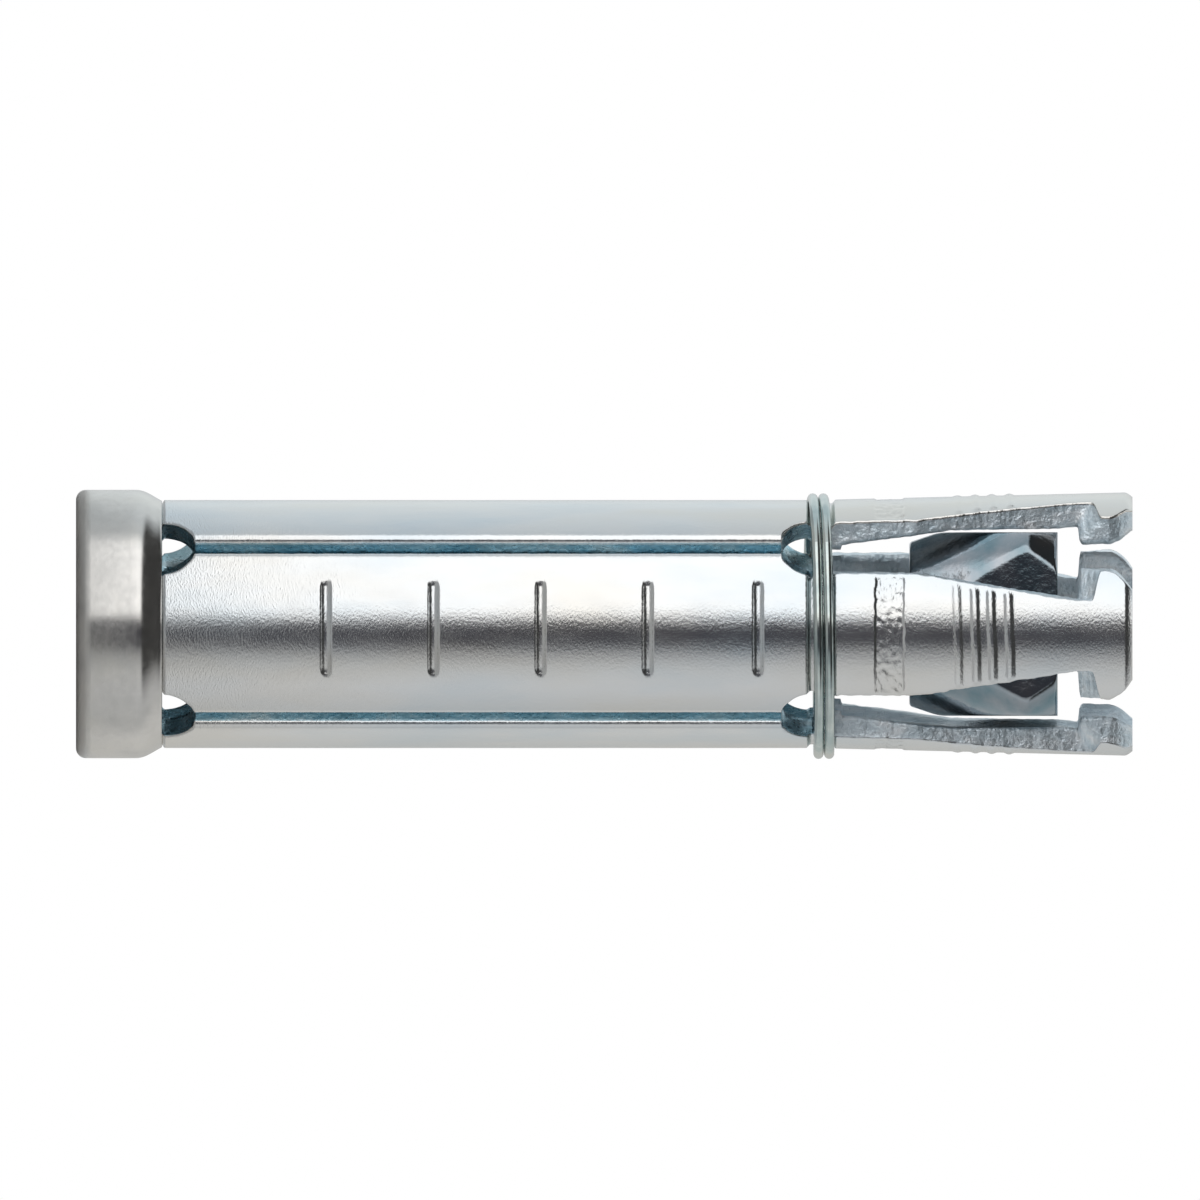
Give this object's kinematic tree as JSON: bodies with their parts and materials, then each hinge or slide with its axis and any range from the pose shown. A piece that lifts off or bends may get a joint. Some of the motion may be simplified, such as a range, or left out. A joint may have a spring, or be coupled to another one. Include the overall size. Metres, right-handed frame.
{
  "type": "shield anchor",
  "caption": "Expanding shield anchor: pressed quarter shells held by a ferrule and a wire ring, with a tapered nut between slotted fingers.",
  "frame": {"origin": "centre of the ferrule's flat face, on which the anchor stands", "axes": "+Z along the axis towards the expanding end, -Y out of the middle of the front segment"},
  "size_m": [0.019, 0.019, 0.0748],
  "materials": {
    "ferrule": "drawn steel cap, dull zinc plate with fine draw lines along the axis",
    "shield": "pressed steel, bright blue-white zinc plate with fine pitting",
    "ring": "round spring wire, glossy zinc plate",
    "nut": "forged steel, smooth dark glossy plate"
  },
  "bodies": {
    "ferrule": {"ferrule": "ferrule", "wire_ring": "ring"},
    "segment_front": {"shield_segment_front": "shield"},
    "segment_bottom": {"shield_segment_bottom": "shield"},
    "segment_back": {"shield_segment_back": "shield"},
    "segment_top": {"shield_segment_top": "shield"},
    "nut": {"cone_nut": "nut"}
  },
  "joints": [
    {"name": "nut_draw", "type": "slide", "parent": "ferrule", "child": "nut", "axis": [0, 0, -1], "range_m": [0, 0.009], "deforming": ["wire_ring"]},
    {"name": "front_opens", "type": "hinge", "parent": "ferrule", "child": "segment_front", "pos_m": [0, -0.0075, 0.003], "axis": [1, 0, 0], "range_deg": [0, 1.2]},
    {"name": "bottom_opens", "type": "hinge", "parent": "ferrule", "child": "segment_bottom", "pos_m": [0.0075, 0, 0.003], "axis": [0, 1, 0], "range_deg": [0, 1.2]},
    {"name": "back_opens", "type": "hinge", "parent": "ferrule", "child": "segment_back", "pos_m": [0, 0.0075, 0.003], "axis": [-1, 0, 0], "range_deg": [0, 1.2]},
    {"name": "top_opens", "type": "hinge", "parent": "ferrule", "child": "segment_top", "pos_m": [-0.0075, 0, 0.003], "axis": [0, -1, 0], "range_deg": [0, 1.2]}
  ],
  "couplings": [
    {"joint": "front_opens", "follows": "nut_draw", "rad_per_m": 2.32},
    {"joint": "bottom_opens", "follows": "nut_draw", "rad_per_m": 2.32},
    {"joint": "back_opens", "follows": "nut_draw", "rad_per_m": 2.32},
    {"joint": "top_opens", "follows": "nut_draw", "rad_per_m": 2.32}
  ]
}
